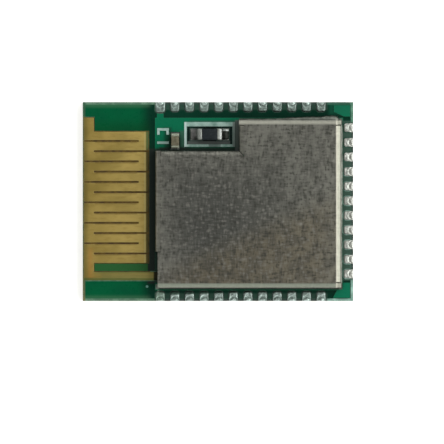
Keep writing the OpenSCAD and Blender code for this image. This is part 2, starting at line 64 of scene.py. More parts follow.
# %% [markdown]
# ## Where the camera stands
# The photograph looks straight down on the board from so far off that the can's walls hardly show, which is
# a long lens at a distance. Its frame is square, and the pads, which are 1 mm apart, give 14.62 pixels to a
# millimetre. From that follow the width of the view and, for a chosen distance, the length of the lens. An
# orthographic camera would do nearly the same, but a long lens also serves the other views of the part.

# %% Camera
FRAME_PIXELS = 444
PIXELS_PER_MM = 14.62
STAND_OFF = 0.6
LOOKED_AT = (0.274 * MM, -1.399 * MM)

board_low, board_high = box("laminate")
view_width = FRAME_PIXELS / PIXELS_PER_MM * MM
lens = bpy.data.cameras.new("straight_down")
lens.lens = lens.sensor_width * STAND_OFF / view_width
lens.clip_start, lens.clip_end = 0.01, 10
camera = bpy.data.objects.new("straight_down", lens)
camera.location = (*LOOKED_AT, board_high.z * MM + STAND_OFF)
scene.collection.objects.link(camera)
scene.camera = camera
scene.view_settings.view_transform = "Standard"
print("view", round(view_width / MM, 2), "mm wide, lens", round(lens.lens, 1), "mm")

# %% [markdown]
# ## Formulas made of nodes
# Shaders and Geometry Nodes are both trees of nodes, and most of what follows is arithmetic in such trees.
# Adding Math nodes one by one is long to write and hard to read. So a node's output is wrapped in a small
# class, a wire, that knows what a plus or a times sign means: it adds the Math node and gives its output as
# the next wire. A formula in the script is then the same formula in the tree.

# %% Wires
class Wire:
    """A node's output that can stand in a formula."""

    def __init__(self, socket):
        self.socket = socket
        self.tree = socket.id_data

    def calc(self, operation, other=0.0):
        """One Math node on this value and another."""
        return node(self.tree, "ShaderNodeMath", {0: self, 1: other}, operation=operation)[0]

    def most(self, other):
        """The larger of two values."""
        return self.calc("MAXIMUM", other)

    def __add__(self, other):
        return self.calc("ADD", other)

    def __sub__(self, other):
        return self.calc("SUBTRACT", other)

    def __rsub__(self, other):
        return node(self.tree, "ShaderNodeMath", {0: other, 1: self}, operation="SUBTRACT")[0]

    def __mul__(self, other):
        return self.calc("MULTIPLY", other)

    def __truediv__(self, other):
        return self.calc("DIVIDE", other)

    def __pow__(self, other):
        return self.calc("POWER", other)

    def __neg__(self):
        return self * -1.0

    def __abs__(self):
        return self.calc("ABSOLUTE")


print("a wire knows plus, minus, times, divided by, power and abs")

# %% [markdown]
# A node takes three steps: it is added, its options are set, and its inputs are fed with wires or with plain
# values. One function does all three.

# %% Nodes
class Outputs:
    """The outputs of a node, each as a wire."""

    def __init__(self, made):
        self.made = made

    def __getitem__(self, key):
        return Wire(self.made.outputs[key])


def join(value, socket):
    """Links a wire or a list of wires to a socket, or writes a plain value on it."""
    if isinstance(value, (Wire, list)):
        for wire in value if isinstance(value, list) else [value]:
            wire.tree.links.new(wire.socket, socket)
    else:
        socket.default_value = value


def node(tree, kind, feeds=None, **settings):
    """Adds a node, makes its settings and feeds its inputs."""
    made = tree.nodes.new(kind)
    for name, value in settings.items():
        setattr(made, name, value)
    for key, value in (feeds or {}).items():
        join(value, made.inputs[key])
    return Outputs(made)


print("nodes are added by one function")

# %% [markdown]
# A few nodes are needed so often that they get a short name: smooth steps from one value to another, a mix
# of two colours, a vector and its three parts, and an empty group. Colours are given as a screen shows them,
# from 0 to 255, and turned into the linear numbers that light works with. A group's inputs are given as a
# table of names and values, and the kind of each value tells the kind of socket.

# %% Node helpers
SOCKETS = {float: "Float", int: "Int", tuple: "Vector", bpy.types.Material: "Material"}


def fit(value, low, high, to_low, to_high):
    """A smooth step: to_low below low, to_high above high."""
    feeds = {0: value, 1: low, 2: high, 3: to_low, 4: to_high}
    return node(value.tree, "ShaderNodeMapRange", feeds, interpolation_type="SMOOTHSTEP")[0]


def rise(value, low, high, share=1.0):
    """A smooth step up from nothing."""
    return fit(value, low, high, 0.0, share)


def fall(value, low, high, share=1.0):
    """A smooth step down to nothing."""
    return fit(value, low, high, share, 0.0)


def linear(colour):
    """Screen levels as a shader colour; a wire stays as it is."""
    if isinstance(colour, Wire):
        return colour
    shares = [level / 255 for level in colour]
    return (*(s / 12.92 if s <= 0.04045 else ((s + 0.055) / 1.055) ** 2.4 for s in shares), 1.0)


def blend(share, first, second, how="MIX"):
    """Two colours mixed by a share from 0 to 1."""
    feeds = {0: share, 6: linear(first), 7: linear(second)}
    return node(share.tree, "ShaderNodeMix", feeds, data_type="RGBA", blend_type=how)[2]


def vector(tree, x=0.0, y=0.0, z=0.0):
    """A vector made of three values."""
    return node(tree, "ShaderNodeCombineXYZ", {0: x, 1: y, 2: z})[0]


def parts(wire):
    """The X, Y and Z of a vector."""
    made = node(wire.tree, "ShaderNodeSeparateXYZ", {0: wire})
    return made[0], made[1], made[2]


def vector_calc(operation, first, second, out="Vector"):
    """One Vector Math node on two vectors."""
    return node(first.tree, "ShaderNodeVectorMath", {0: first, 1: second}, operation=operation)[out]


def new_group(name, kind, inputs, output):
    """An empty node group with named sockets, its inputs as wires and the socket of its output."""
    tree = bpy.data.node_groups.new(name, kind + "NodeTree")
    for label, value in inputs.items():
        sort = "NodeSocket" + SOCKETS[type(value)]
        tree.interface.new_socket(label, in_out="INPUT", socket_type=sort).default_value = value
    sort = "NodeSocketFloat" if kind == "Shader" else "NodeSocketGeometry"
    tree.interface.new_socket(output, in_out="OUTPUT", socket_type=sort)
    return tree, node(tree, "NodeGroupInput"), tree.nodes.new("NodeGroupOutput").inputs[0]


print("helpers: fit, rise, fall, blend, vector, parts, vector_calc, new_group")

# %% [markdown]
# ## Light
# Bare metal shows the room more than its own colour. In the photograph the can's lid is dull and dark, so
# little light comes from overhead, while its east fold shines, so the strongest light stands to the east.
# The studio is built that way: a room that is dim above and paler near the horizon, one large soft lamp in
# the east, and weaker ones to the north and south. Lamp power is worked out from how bright a lamp should
# look, because that is what the metal reflects.

# %% Room and lamps
ROOM_HORIZON, ROOM_ZENITH = 0.62, 0.40
STUDIO_RADIUS = 0.8

room = bpy.data.worlds.new("room")
room.use_nodes = True
scene.world = room
glow = room.node_tree.nodes["Background"].inputs
upward = parts(node(room.node_tree, "ShaderNodeTexCoord")["Generated"])[2]
join(fit(upward, 0.25, 0.9, ROOM_HORIZON, ROOM_ZENITH), glow["Strength"])
glow["Color"].default_value = (1, 1, 1, 1)


def soft_lamp(name, azimuth, height, width, tall, brightness):
    """A rectangular lamp that faces the part; brightness is how bright its face looks."""
    lamp = bpy.data.lights.new(name, "AREA")
    lamp.shape, lamp.size, lamp.size_y = "RECTANGLE", width, tall
    lamp.energy = 4 * brightness * width * tall
    turn, lift = math.radians(azimuth), math.radians(height)
    away = Vector((math.cos(turn) * math.cos(lift), math.sin(turn) * math.cos(lift), math.sin(lift)))
    holder = bpy.data.objects.new(name, lamp)
    holder.location = away * STUDIO_RADIUS
    holder.rotation_euler = away.to_track_quat("Z", "Y").to_euler()
    scene.collection.objects.link(holder)
    print(name, "of", round(lamp.energy, 2), "W")


soft_lamp("east_lamp", 0, 38, 1.1, 0.95, 1.9)
soft_lamp("north_lamp", 90, 36, 1.0, 0.6, 0.85)
soft_lamp("south_lamp", 270, 36, 1.0, 0.6, 0.54)

# %% [markdown]
# ## Floor
# The background is plain white, but the part should still throw its thin shadow. A white floor under this
# light is slightly grey, so it also glows a little, only for the rays that look at it directly, in a mirror
# or through glass. The glow adds no light to the part, and the shadow stays.

# %% Floor
FLOOR_HALF = 2.0
FLOOR_DROP = 0.01 * MM
FLOOR_GLOW = 0.45

floor_mesh = bpy.data.meshes.new("floor")
signs = ((-1, -1), (1, -1), (1, 1), (-1, 1))
floor_points = [(x * FLOOR_HALF, y * FLOOR_HALF, -FLOOR_DROP) for x, y in signs]
floor_mesh.from_pydata(floor_points, [], [range(4)])
floor = bpy.data.objects.new("floor", floor_mesh)
scene.collection.objects.link(floor)
paper = bpy.data.materials.new("floor_paper")
paper.use_nodes = True
paper_skin = paper.node_tree.nodes["Principled BSDF"].inputs
paper_skin["Base Color"].default_value = (0.86, 0.86, 0.86, 1)
paper_skin["Roughness"].default_value = 0.9
paper_skin["Specular IOR Level"].default_value = 0.0
paper_skin["Emission Color"].default_value = (1, 1, 1, 1)
rays = node(paper.node_tree, "ShaderNodeLightPath")
looked_at = rays["Is Camera Ray"].most(rays["Is Glossy Ray"]).most(rays["Is Transmission Ray"])
join(looked_at * FLOOR_GLOW, paper_skin["Emission Strength"])
floor_mesh.materials.append(paper)
print("floor of", 2 * FLOOR_HALF, "m, staged")

# %% [markdown]
# ## Effects that several finishes share
# Metal, ceramic and lacquer all vary in the same few ways: a grain, sparse flecks, and areas that differ from
# the rest. Two more effects paint light into the colour: a painted highlight on edges and painted shade in
# corners. Each is a shader group made once.
# They work on Object coordinates, which on these pieces are plain metres on the part, turned to millimetres
# here, so a grain has the same size everywhere.

# %% Grain and flecks
def place(tree):
    """The place on the part, in millimetres."""
    metres = node(tree, "ShaderNodeTexCoord")["Object"]
    return node(tree, "ShaderNodeVectorMath", {0: metres, "Scale": 1 / MM}, operation="SCALE")[0]


inputs = {"Scale": 1.0, "Stretch": (1, 1, 1), "Detail": 2.0}
grain, given, result = new_group("grain", "Shader", inputs, "Value")
stretched = vector_calc("MULTIPLY", place(grain), given["Stretch"])
feeds = {"Vector": stretched, "Scale": given["Scale"], "Detail": given["Detail"]}
join(node(grain, "ShaderNodeTexNoise", feeds)["Fac"], result)

inputs = {"Scale": 1.0, "Share": 0.3, "Size": 0.3}
flecks, given, result = new_group("flecks", "Shader", inputs, "Mask")
cells = node(flecks, "ShaderNodeTexVoronoi", {"Vector": place(flecks), "Scale": given["Scale"]})
near = fall(cells["Distance"], 0.0, given["Size"])
chosen = node(flecks, "ShaderNodeSeparateColor", {0: cells["Color"]})[0].calc("LESS_THAN", given["Share"])
join(near * chosen, result)
print("groups", grain.name, "and", flecks.name)

# %% [markdown]
# The region group gives a rectangle on the board with soft edges. The edge group, a painted highlight,
# compares the surface's normal with one rounded off by the Bevel node, and the corner group, painted shade,
# asks the Ambient Occlusion node how open a spot is. These two nodes take their distances in metres.

# %% Regions, edges and corners
inputs = {"Low": (-1, -1, -1), "High": (1, 1, 1), "Soft": 0.1}
region, given, result = new_group("region", "Shader", inputs, "Mask")
spot = place(region)
over, under = vector_calc("SUBTRACT", spot, given["Low"]), vector_calc("SUBTRACT", given["High"], spot)
in_x, in_y, in_z = parts(vector_calc("MINIMUM", over, under))
inside = in_x.calc("MINIMUM", in_y).calc("MINIMUM", in_z)
join(rise(inside, 0.0, given["Soft"]), result)

# painted highlight: paler where the Bevel node rounds an edge
edges, given, result = new_group("edges", "Shader", {"Radius": 0.05 * MM, "Turn": 0.2}, "Mask")
rounded = node(edges, "ShaderNodeBevel", {"Radius": given["Radius"]})[0]
alike = vector_calc("DOT_PRODUCT", rounded, node(edges, "ShaderNodeNewGeometry")["Normal"], "Value")
join(rise(1.0 - alike, 0.0, given["Turn"]), result)

# painted shade: darker where the Ambient Occlusion node finds a spot closed in
corners, given, result = new_group("corners", "Shader", {"Reach": 0.3 * MM}, "Mask")
open_share = node(corners, "ShaderNodeAmbientOcclusion", {"Distance": given["Reach"]}, samples=8)["AO"]
join(fall(open_share, 0.35, 0.95), result)
print("effects:", [group.name for group in bpy.data.node_groups])

# %% [markdown]
# ## How a finish is made
# Every finish is one Principled shader. Values that are the same all over, such as how metallic it is, are
# written straight on the shader. Colour, roughness and bump come from the effects. A colour is built up as a
# painter does it: a ground of two mottled colours, then one tint after another, each through its own mask.

# %% Finish
FAR = 100.0
finishes = {}


class Finish:
    """A material in the making: its tree, the place on the part as x, y and z, and its colour so far."""

    def __init__(self, name, metal=0.0, gloss=0.5):
        finishes[name] = bpy.data.materials.new(name)
        finishes[name].use_nodes = True
        self.tree = finishes[name].node_tree
        self.skin = self.tree.nodes["Principled BSDF"].inputs
        self.skin["Metallic"].default_value = metal
        self.skin["Specular IOR Level"].default_value = gloss
        self.x, self.y, self.z = parts(place(self.tree))

    def effect(self, group, **values):
        """Places a shared effect with its own values, and gives its result."""
        return node(self.tree, "ShaderNodeGroup", values, node_tree=group)[0]

    def grain(self, scale, detail, stretch=(1, 1, 1)):
        """A noise with so many waves to a millimetre."""
        return self.effect(grain, Scale=scale, Detail=detail, Stretch=stretch)

    def within(self, west, south, east, north, soft):
        """A mask of a rectangle on the board, with soft edges."""
        return self.effect(region, Low=(west, south, -FAR), High=(east, north, FAR), Soft=soft)

    def normal(self):
        """The X, Y and Z of the direction in which the surface faces."""
        return parts(node(self.tree, "ShaderNodeNewGeometry")["Normal"])

    def ground(self, share, first, second):
        """Begins the colour as a mix of two."""
        self.colour = blend(share, first, second)
        join(self.colour, self.skin["Base Color"])

    def tint(self, share, colour, how="MIX"):
        """Lays a colour over the colour so far."""
        self.colour = blend(share, self.colour, colour, how)
        join(self.colour, self.skin["Base Color"])

    def feel(self, roughness, height, depth, strength):
        """Sets the roughness and a bump: the height, from 0 to 1, stands up by a depth in millimetres."""
        join(roughness, self.skin["Roughness"])
        feeds = {"Height": height, "Distance": depth * MM, "Strength": strength}
        join(node(self.tree, "ShaderNodeBump", feeds)[0], self.skin["Normal"])


print("a grey of 128 on screen is", round(linear((128,))[0], 3), "in the shader")

# %% [markdown]
# ## Solder mask
# The mask is a coat of green lacquer, about 0.03 mm thick. It is clear enough to show what lies under it:
# bright green over the bare laminate around the antenna, where the inner layers are kept empty, darker over
# the ground layer further in, and paler where the top copper lifts it. The solids already carry that step
# of 0.04 mm, so height alone tells where the copper is. The other places are read from the boxes of the
# antenna, the can, the printed frame and the pads.

# %% Solder mask ground
FRAME_LENGTH, FRAME_WIDTH = 3.46, 1.7
STEP_EAST, STEP_SOUTH = 0.27, 0.28
copper_top = box("top_copper")[1].z
antenna_low, antenna_high = box("antenna")
can_low, can_high = box("shield_can")
north_low, north_high = box("north_pads")
east_low, east_high = box("east_pads")
frame_e, frame_n = box("legend")[1].xy
frame_w, frame_s = frame_e - FRAME_LENGTH, frame_n - FRAME_WIDTH
step_x, step_y = frame_e + STEP_EAST, frame_s - STEP_SOUTH

mask = Finish("mask_lacquer", gloss=0.05)
inland = rise(mask.x, -5.6, -4.5)
mask.ground(inland, (1, 80, 47), (4, 42, 29))
cloud = rise(mask.grain(0.42, 3.0), 0.35, 0.7)
mask.tint(cloud, blend(inland, (2, 71, 44), (6, 47, 33)))
west_part = fall(mask.x, -4.9, -4.4)
mask.tint(west_part * rise(abs(mask.y), 6.3, 6.6, 0.24), (92, 127, 98))
nearing = fall(mask.y, 4.8, 5.9, 0.45) * rise(mask.y, 0.0, 1.0)
mask.tint(west_part * nearing, (8, 50, 18))
over_copper = blend(rise(mask.x, 3.0, 8.0), (10, 95, 66), (16, 102, 74))
mask.tint(rise(mask.z, copper_top, copper_top + 0.02), over_copper)
print("mask turns paler above", round(copper_top, 3), "mm")

# %% [markdown]
# The field inside the printed frame is nearly black. A painted shadow of the can makes the strip beside its
# west wall and the strip along the step's south wall nearly black too, and painted shade darkens the corners
# along the can's walls. The mask's edges get a painted highlight. Between the pads a haze of flux makes the
# mask paler, and so does the light that the step's wall and the filter throw back. Beside the small capacitor
# lies its painted shadow, and painted shade lies west of the printed frame. None of this shows underneath, so
# height also tells the plain lower coat from the upper one.

# %% Solder mask shades
mask.tint(mask.within(frame_w + 0.3, frame_s, FAR, frame_n + 0.16, 0.1) * 0.5, (46, 76, 66))
# painted shade west of the printed frame, towards the capacitor
mask.tint(mask.within(frame_w - 0.4, step_y, frame_w + 0.3, frame_n - 0.5, 0.2) * 0.7, (56, 84, 72))
by_capacitor = mask.within(-3.8, 3.4, -3.05, 5.2, 0.25)
mask.tint(by_capacitor * 0.65, (18, 44, 34))
far_corner = mask.within(7.4, 5.75, FAR, FAR, 0.4)
mask.tint(far_corner * 0.5, (26, 92, 68))
field = mask.within(frame_w, frame_s, frame_e, frame_n, 0.06)
mask.tint(field * 0.92, (14, 26, 26))
# painted shadow of the can: beside its west wall and along the step's south wall
beside = mask.within(can_low.x - 0.62, -5.7, can_low.x + 0.5, 3.7, 0.16)
below = mask.within(can_low.x + 0.2, step_y - 0.3, step_x + 0.3, frame_s + 0.02, 0.12)
mask.tint(beside.most(below) * 0.88, (36, 41, 38))
by_feed = mask.within(antenna_low.x, antenna_low.y + 0.5, can_low.x - 0.5, antenna_low.y + 1.3, 0.04)
mask.tint(by_feed * 0.85, (40, 82, 42))
# painted highlight along the mask's edges; the lower coat gets it too
edge = mask.effect(edges, Radius=0.05 * MM, Turn=0.15) * 0.25
mask.tint(edge, (70, 140, 110))
in_rows = mask.within(north_low.x - 0.1, -FAR, north_high.x + 0.2, FAR, 0.1) * rise(abs(mask.y), 6.2, 6.35)
in_column = mask.within(can_high.x + 0.06, east_low.y - 0.2, FAR, east_high.y + 0.2, 0.1)
hazy = (in_rows * 0.45).most(in_column * 0.85)
mask.tint(hazy, (62, 84, 73))
# painted shade in corners along the can's walls and around pads and chips, weaker in the haze between pads
corner_shade = mask.effect(corners, Reach=0.5 * MM) * fit(hazy, 0.0, 0.6, 0.9, 0.5)
mask.tint(corner_shade, (19, 28, 24))
behind = mask.within(frame_e - 0.05, step_y - 0.3, step_x + 0.3, can_high.y + 0.05, 0.12)
before = mask.within(frame_w + 0.2, frame_s + 0.1, frame_e - 0.3, frame_s + 0.42, 0.06)
mask.tint(behind.most(before) * 0.85, (84, 90, 86))
lower_coat = blend(edge, blend(cloud, (2, 74, 45), (4, 67, 42)), (70, 140, 110))
mask.tint(fall(mask.z, 0.3, 0.5), lower_coat)
fine = mask.grain(5.2, 2.0)
mask.feel(fit(fine, 0.3, 0.7, 0.26, 0.38), fine, 0.004, 0.4)
print("mask made of", len(mask.tree.nodes), "nodes")

# %% [markdown]
# ## Laminate
# The board is glass cloth in resin. Its sawn sides show pale layers of glass, and a narrow strip is bare
# along the top edges, pale at the corners and darker between the pads. In the slots of the antenna the bare
# resin is brown. Four materials would do, but the solid is one piece, so one material looks at the place on
# the board and at the way that the surface faces.

# %% Laminate finish
laminate = Finish("glass_laminate", gloss=0.3)
layers = laminate.grain(1.0, 3.0, (0.9, 0.9, 9.0))
patchy = laminate.grain(2.6, 3.0)
east_end = rise(laminate.x, 2.0, 8.0)
laminate.ground(east_end, (94, 128, 104), (146, 185, 171))
corner = blend(rise(laminate.x, 9.0, 9.06), (44, 90, 72), (92, 138, 116))
laminate.tint(east_end * rise(laminate.y, 0.0, 4.0), corner)
bare_edge = blend(rise(laminate.y, 5.7, 5.9), (104, 101, 63), (44, 86, 58))
laminate.tint(fall(laminate.x, board_low.x + 0.12, board_low.x + 0.22), bare_edge)
laminate.tint(fall(patchy, 0.4, 0.65, 0.45), (22, 66, 46))
by_rows = laminate.within(north_low.x - 0.1, -FAR, north_high.x + 0.2, FAR, 0.2)
by_column = laminate.within(board_high.x - 0.3, east_low.y - 0.2, FAR, east_high.y + 0.2, 0.2)
laminate.tint(by_rows.most(by_column), (44, 62, 54))
in_slots = laminate.within(antenna_low.x - 0.02, -4.9, -4.6, 5.8, 0.05)
laminate.tint(in_slots, blend(rise(patchy, 0.3, 0.7), (62, 45, 8), (92, 72, 20)))
sawn = blend(rise(layers, 0.35, 0.65), (150, 148, 104), (188, 186, 146))
laminate.tint(fall(laminate.normal()[2], 0.4, 0.8), sawn)
laminate.feel(fit(layers, 0.3, 0.7, 0.55, 0.8), layers, 0.01, 0.5)
print("laminate", round(board_high.z - board_low.z, 2), "mm thick")

# %% [markdown]
# ## Gilt copper
# The antenna is left bare and gilded. Plated gold of this sort is satin, not mirror-like, and slightly
# blotchy. Along its edges, where the etched copper is rounded, it gets a painted highlight. At its south-west
# corner it has tarnished to orange. Flux has stained it along the slots. The stain repeats with the slots, so
# a Ping-Pong of the Y coordinate gives the distance to the nearest one.

# %% Gilt ground
FINGER_PITCH = 0.7
SLOT_STAIN_Y = -3.58
FINGER_GAP = 0.48
finger_east = can_low.x - FINGER_GAP

gilt = Finish("gilt", metal=0.85)
blotch = gilt.grain(0.7, 4.0)
gilt.ground(rise(blotch, 0.3, 0.7), (142, 123, 60), (160, 139, 75))
gilt.tint(rise(gilt.x, -9.0, -5.2, 0.35), (196, 174, 104))
fine = gilt.grain(5.5, 2.0, (0.3, 1.0, 1.0))
gilt.tint(rise(fine, 0.45, 0.75, 0.35), (130, 109, 52))
tarnish = gilt.within(antenna_low.x, antenna_low.y - 0.2, antenna_low.x + 0.8, antenna_low.y + 2.4, 0.5)
gilt.tint(tarnish * 0.4, (168, 112, 48))
gilt.tint(fall(gilt.x, antenna_low.x, antenna_low.x + 0.45, 0.85), (114, 102, 50))
in_fingers = gilt.within(antenna_low.x + 0.7, -4.0, finger_east - 0.72, 4.6, 0.1)
from_slot = (gilt.y - SLOT_STAIN_Y).calc("PINGPONG", FINGER_PITCH / 2)
gilt.tint(in_fingers * fall(from_slot, 0.07, 0.15, 0.4), (92, 70, 24))
# painted highlight along the antenna's rounded edges
gilt.tint(gilt.effect(edges, Radius=0.05 * MM, Turn=0.12) * 0.5, (186, 171, 114))
print("gilt ready for", round(antenna_high.y - antenna_low.y, 2), "mm of antenna")

# %% [markdown]
# Lacquer crept over the copper in places: on the sides of the feed, along the antenna's south rim and over
# the finger tips, with a painted highlight line before them. Where the feed runs under the can it lies in
# painted shade.

# %% Gilt with lacquer on it
FEED_MIDDLE = -5.08

feed = gilt.within(finger_east - 3.4, antenna_low.y - 0.1, FAR, antenna_low.y + 0.65, 0.6)
gilt.tint(feed * 0.7, (122, 124, 74))
on_feed = fall(gilt.y, -4.8, -4.7) * rise(gilt.x, antenna_low.x + 0.5, antenna_low.x + 1.0)
greened = on_feed * fit(abs(gilt.y - FEED_MIDDLE), 0.1, 0.3, 0.2, 0.65)
south_rim = fall(gilt.y, antenna_low.y + 0.1, antenna_low.y + 0.24, 0.7)
gilt.tint(greened.most(south_rim), (60, 92, 48))
# painted highlight line before the finger tips
tip_highlight = fall(abs(gilt.x - (finger_east - 0.24)), 0.02, 0.08, 0.5)
gilt.tint(tip_highlight * rise(gilt.y, -4.4, -4.2), (176, 166, 112))
lapped = gilt.within(finger_east - 0.2, antenna_low.y + 0.9, FAR, FAR, 0.08)
gilt.tint(lapped * 0.85, blend(rise(gilt.y, 3.4, 3.8), (50, 52, 28), (66, 96, 58)))
# painted shade where the feed runs under the can's edge
gilt.tint(rise(gilt.x, can_low.x - 0.18, can_low.x - 0.06, 0.92), (14, 18, 16))
gilt.feel(fit(blotch, 0.3, 0.7, 0.42, 0.56), fine, 0.006, 0.5)
print("fingers end at x", round(finger_east, 2), "mm")

# %% [markdown]
# ## Tin
# Pads, chip ends and joints are coated with solder tin. It freezes with a slightly rumpled skin, so each
# small spot mirrors another part of the room, and it is clouded by oxide and flux, most of all at the inner
# ends of the pads. The east pads get a painted highlight, brightest right at the board's edge. The filter's
# west end is darkened with painted shade and its east end brightened with a painted highlight.

# %% Tin ground
tin = Finish("tin", metal=1.0)
cloud = tin.grain(2.3, 4.0)
tin.ground(rise(cloud, 0.3, 0.7), (150, 154, 146), (192, 196, 188))
tin.tint(tin.effect(flecks, Scale=4.2, Share=0.4, Size=0.55) * 0.6, (88, 92, 84))
outward = abs(tin.y) - tin.y * 0.02
rows = rise(outward, 5.6, 5.7)
column = rise(tin.x, 8.3, 8.6)
tin.tint(fall(outward, 6.2, 6.55, 0.65) * rows * (1.0 - column), (100, 108, 100))
# painted shade on the filter's west cap
tin.tint((1.0 - rows) * fall(tin.x, -0.8, -0.4, 0.5), (84, 88, 86))
# painted highlight on the filter's east cap
tin.tint(tin.within(0.03, 3.9, 0.5, 5.2, 0.08) * 0.4, (222, 226, 224))
# painted highlight on the east pads
bright = column * fall(tin.x, 8.72, 8.84, 0.5) + rise(tin.x, 8.94, 9.06, 0.8)
tin.tint(bright, (240, 242, 234))
# painted shade in the grooves and hollows of the pads, strongest on the east column
tin.tint(tin.effect(corners, Reach=0.08 * MM) * fit(column, 0.0, 1.0, 0.1, 0.75), (62, 66, 58))
print("pads lie on", round(north_high.z, 2), "mm")

# %% [markdown]
# Seen from above, the two long rows mirror some of the green around them, so their tops are cooler. On the
# south row the inner ends are darker and greener, more towards the west, along a slanted line, and the first
# pad of that row is tinted green.

# %% Tin on the long rows
COOL = (0.89, 1.04, 1.05)
CREEP_SLANT = 0.0314

on_top = rise(tin.z, north_high.z - 0.03, north_high.z)
tin.tint(on_top * rows, vector(tin.tree, *COOL), "MULTIPLY")
south_row = on_top * fall(tin.y, -6.0, -5.9)
past_first = rise(tin.x, -3.6, -3.5)
greened = rise(tin.y - tin.x * CREEP_SLANT, -6.32, -6.24, 0.9)
tin.tint(south_row * greened * past_first, (60, 84, 72))
tin.tint(south_row * (1.0 - past_first) * 0.4, (92, 130, 96))
tin.feel(fit(cloud, 0.3, 0.7, 0.58, 0.4), tin.grain(4.2, 2.0), 0.02, 0.5)
print("tin made of", len(tin.tree.nodes), "nodes")

# %% [markdown]
# ## Can sheet
# The can is tinned steel, rolled, cut and folded. Its lid is dull, warmer towards the south-east, crossed by
# short dashes along and across the rolling direction, with pale specks and a few dark pits. A painted
# reflection makes it darkest around the middle and paler along the west and east edges. A photograph of steel
# could be laid on it, but a pattern made of noise has no seams and no edge.

# %% Can lid
# centre of the lid's painted reflection, where it is darkest
LID_DARK = (-0.2, -1.4, can_high.z)

sheet = Finish("can_sheet", metal=1.0)
from_middle = vector_calc("DISTANCE", place(sheet.tree), LID_DARK, "Value")
outer = rise(from_middle, 0.5, 8.0) + (sheet.grain(0.33, 3.0) - 0.5)
sheet.ground(outer, (86, 87, 82), (121, 121, 112))
sheet.tint(rise(sheet.x * 0.45 - sheet.y, 2.2, 4.6, 0.55), (114, 104, 82))
# painted reflection along the west and east margins
west_margin = fall(sheet.x, can_low.x + 0.3, can_low.x + 0.7, 0.4)
west_margin = west_margin + fall(sheet.x, can_low.x + 0.6, can_low.x + 2.2, 0.25)
east_margin = rise(sheet.x, can_high.x - 1.9, can_high.x - 0.4, 0.4)
sheet.tint(west_margin + east_margin, (130, 130, 120))
patches = sheet.grain(1.0, 2.0, (2.2, 1.3, 1.0))
sheet.tint(fall(patches, 0.35, 0.65, 0.55), (74, 74, 69))
dashes = (sheet.grain(1.0, 2.0, (7.0, 2.2, 1.0)) + sheet.grain(1.0, 2.0, (2.2, 7.0, 1.0))) * 0.5
sheet.tint(fall(dashes, 0.36, 0.5, 0.8), (62, 62, 57))
sheet.tint(rise(dashes, 0.52, 0.66, 0.7), (134, 132, 124))
sheet.tint(sheet.effect(flecks, Scale=2.3, Share=0.22, Size=0.36) * 0.4, (166, 164, 155))
sheet.tint(sheet.effect(flecks, Scale=0.9, Share=0.18, Size=0.16) * 0.7, (44, 43, 38))
print("can is", round(can_high.z - can_low.z, 2), "mm high")

# %% [markdown]
# The outer folds get a painted highlight, the east one most of all, where a painted bright line marks its
# start, and the steep walls get painted shade. A fold is where the surface turns away from straight up, so
# the normal tells where it starts and where it becomes a wall.

# %% Can folds and walls
facing_x, facing_y, facing_z = sheet.normal()
inner_part = sheet.within(-FAR, can_low.y + 0.45, can_high.x - 0.45, can_high.y - 0.45, 0.08)
west_fold = fall(facing_x, -0.12, -0.04, 0.35)
# painted highlight on the outer folds
fold_highlight = fall(facing_z, 0.985, 0.999) * rise(facing_z, 0.25, 0.7)
fold_highlight = fold_highlight * west_fold.most(fit(inner_part, 0.0, 1.0, 0.85, 0.05))
east_fold = rise(facing_x, 0.04, 0.12).most(rise(sheet.x, can_high.x - 0.36, can_high.x - 0.3))
shine = blend(fall(facing_y, -0.12, -0.04), (150, 150, 138), (139, 146, 132))
sheet.tint(fold_highlight, blend(east_fold, shine, (182, 183, 168)))
# painted bright line at the start of the east fold
past_start = rise(sheet.x, can_high.x - 0.38, can_high.x - 0.34, 0.8)
before_turn = fall(sheet.x, can_high.x - 0.28, can_high.x - 0.22)
sheet.tint(past_start * before_turn, (206, 204, 189))
# painted shade on the steep walls
sheet.tint(fall(facing_z, 0.15, 0.75, 0.75), (70, 72, 65))
sheet.feel(fit(dashes, 0.35, 0.65, 0.54, 0.42) + east_fold * 0.2, dashes, 0.008, 0.5)
print("can sheet made of", len(sheet.tree.nodes), "nodes")

# %% [markdown]
# ## Ceramics and the parts inside
# Chip bodies are fired ceramic with a fine grain: one nearly black, one tan. The parts inside the can are
# seen only through its opening at the feed, but each has its own finish: moulded black resin and plated
# crystal lids. They differ only in their colours and in a few values, so one function makes them all.

# %% Mottled finishes
def mottled(name, dark, pale, scale, rough, metal=0.0, gloss=0.2, depth=0.004):
    """A finish that wavers between two colours, with a little bump and a varying gloss."""
    finish = Finish(name, metal, gloss)
    waver = finish.grain(scale, 4.0)
    finish.ground(rise(waver, 0.3, 0.7), dark, pale)
    finish.feel(fit(waver, 0.3, 0.7, rough + 0.08, rough - 0.08), waver, depth, 0.6)
    return finish


mottled("dark_ceramic", (16, 22, 25), (31, 37, 40), 6.0, 0.45)
mottled("tan_ceramic", (83, 79, 62), (105, 101, 82), 5.0, 0.5)
mottled("moulded_resin", (24, 25, 27), (40, 41, 44), 7.0, 0.55)
mottled("plated_lid", (172, 166, 150), (204, 199, 184), 1.8, 0.35, metal=1.0)
mottled("end_metal", (134, 139, 122), (164, 170, 152), 3.6, 0.5, metal=0.7)
print("finishes so far:", sorted(finishes))

# %% [markdown]
# ## Print and dull solder
# The ink was laid on unevenly: it is strongest on the frame's west side, weakest on the dot, and worn beside
# the filter. Its east side, close to the can, is darkened by a painted shadow of the step's wall. Solder that
# flux has covered is dull and grey, and its dark grey also stands in for the shade at the can's foot and in
# the filter's joints, so it is partly painted shade. It is cleaner at the can's outer corners, where it was
# fed and wiped. Of the filter's joints the east one is dark, with a glint.

